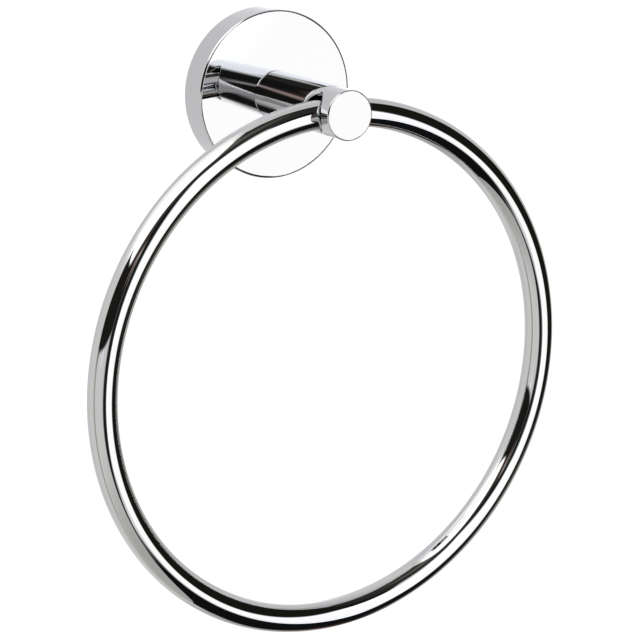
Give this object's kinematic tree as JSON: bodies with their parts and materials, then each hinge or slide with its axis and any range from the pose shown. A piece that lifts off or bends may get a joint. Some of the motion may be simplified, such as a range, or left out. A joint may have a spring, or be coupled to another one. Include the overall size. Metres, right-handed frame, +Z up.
{
  "type": "towel ring",
  "caption": "Round towel ring that hangs loose in an eye across a plain post on a round wall flange, all in mirror chrome.",
  "frame": {"origin": "centre of the two wall screw slots, on the post's axis, in the plane of the wall", "axes": "+Y into the wall along the post's axis, so the ring hangs on the -Y side; +Z up; +X to the right seen from the room"},
  "size_m": [0.1598, 0.0536, 0.1812],
  "materials": {
    "ring": "mirror-polished chrome plate",
    "post": "mirror-polished chrome plate",
    "flange_cover": "mirror-polished chrome plate",
    "wall_bracket": "plain casting, matt grey",
    "set_screw": "plain stainless steel",
    "post_screw": "bright zinc plate",
    "plain_washer": "bright zinc plate",
    "spring_washer": "bright zinc plate"
  },
  "bodies": {
    "wall_mount": {"flange_cover": "flange_cover", "post": "post", "wall_bracket": "wall_bracket", "set_screw": "set_screw", "post_screw": "post_screw", "plain_washer": "plain_washer", "spring_washer": "spring_washer"},
    "ring": {"ring": "ring"}
  },
  "joints": [
    {"name": "ring_swing", "type": "hinge", "parent": "wall_mount", "child": "ring", "pos_m": [0, -0.04414, -0.00039], "axis": [-0.9986, -0.0532, 0], "range_deg": [-14.8, 194.8]}
  ]
}
